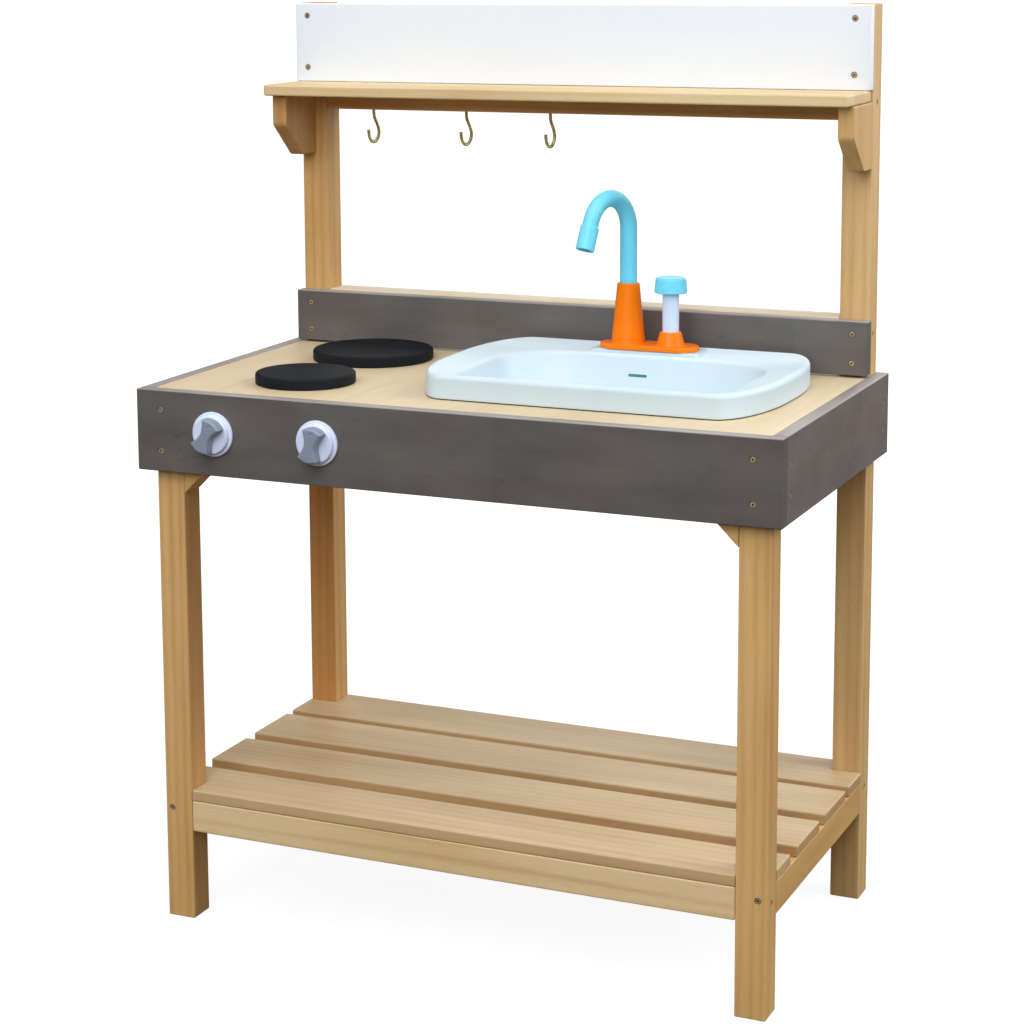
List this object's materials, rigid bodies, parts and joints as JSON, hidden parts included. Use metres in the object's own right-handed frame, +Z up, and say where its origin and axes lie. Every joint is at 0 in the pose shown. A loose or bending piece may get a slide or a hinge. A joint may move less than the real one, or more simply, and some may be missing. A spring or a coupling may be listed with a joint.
{
  "type": "mud kitchen",
  "caption": "Child's outdoor mud kitchen: timber frame, boxed worktop with basin and pump tap, hob discs, turning knobs, slatted shelf and hook rail.",
  "frame": {"origin": "on the floor, under the middle of the whole box", "axes": "+Z up, -Y to the child who stands in front, +X to the child's right"},
  "size_m": [0.72, 0.4188, 1],
  "materials": {
    "pine": "satin, clear stained",
    "pale_pine": "satin",
    "plywood": "satin",
    "grey_stained_wood": "satin stain",
    "white_painted_board": "white paint",
    "black_stained_wood": "black stain",
    "brass_plated_wire": "bright",
    "basin_plastic": "semi gloss",
    "orange_plastic": "gloss",
    "blue_plastic": "gloss",
    "stem_plastic": "gloss",
    "dial_plastic": "gloss",
    "grip_plastic": "satin",
    "inner_plastic": "matt",
    "spring_steel": "bright"
  },
  "bodies": {
    "kitchen_frame": {"front_leg_left": "pine", "front_leg_right": "pine", "rear_post_left": "pine", "rear_post_right": "pine", "panel_batten_left": "pine", "panel_batten_right": "pine", "corner_block_front_left": "pine", "corner_block_front_right": "pine", "corner_block_rear_left": "pine", "corner_block_rear_right": "pine", "lower_rail_front": "pine", "lower_rail_rear": "pine", "lower_rail_left": "pine", "lower_rail_right": "pine", "middle_rail": "pine", "upper_rail": "pine", "upper_shelf": "pine", "shelf_bracket_left": "pine", "shelf_bracket_right": "pine", "shelf_slat_front": "pale_pine", "shelf_slat_second": "pale_pine", "shelf_slat_third": "pale_pine", "shelf_slat_rear": "pale_pine", "tray_front_board": "grey_stained_wood", "tray_side_board_left": "grey_stained_wood", "tray_side_board_right": "grey_stained_wood", "tray_rear_board": "grey_stained_wood", "backsplash_board": "grey_stained_wood", "utensil_hook_left": "brass_plated_wire", "utensil_hook_middle": "brass_plated_wire", "utensil_hook_right": "brass_plated_wire", "spout_nut": "inner_plastic", "pump_nut": "inner_plastic", "pump_barrel": "inner_plastic", "pump_hose": "inner_plastic", "worktop_panel": "plywood", "header_board": "white_painted_board", "hob_disc_small": "black_stained_wood", "hob_disc_large": "black_stained_wood", "sink_basin": "basin_plastic", "tap_base": "orange_plastic", "pump_spring": "spring_steel"},
    "knob_left": {"knob_left_dial": "dial_plastic", "knob_left_grip": "grip_plastic", "knob_left_spindle": "spring_steel"},
    "knob_right": {"knob_right_dial": "dial_plastic", "knob_right_grip": "grip_plastic", "knob_right_spindle": "spring_steel"},
    "spout": {"spout_tube": "blue_plastic", "spout_nozzle": "blue_plastic"},
    "pump_plunger": {"pump_stem": "stem_plastic", "pump_cap": "blue_plastic", "pump_piston": "inner_plastic"}
  },
  "joints": [
    {"name": "knob_left_turn", "type": "hinge", "parent": "kitchen_frame", "child": "knob_left", "pos_m": [-0.26564, -0.1886, 0.555], "axis": [0, 1, 0], "continuous": true},
    {"name": "knob_right_turn", "type": "hinge", "parent": "kitchen_frame", "child": "knob_right", "pos_m": [-0.14106, -0.1886, 0.555], "axis": [0, 1, 0], "continuous": true},
    {"name": "spout_swivel", "type": "hinge", "parent": "kitchen_frame", "child": "spout", "pos_m": [0.0895, 0.1171, 0.7], "axis": [0, 0, 1], "continuous": true},
    {"name": "pump_press", "type": "slide", "parent": "kitchen_frame", "child": "pump_plunger", "axis": [0, 0, -1], "range_m": [0, 0.028], "stiffness_N_per_m": 200, "springref_m": -0.02, "deforming": ["pump_spring"]}
  ]
}
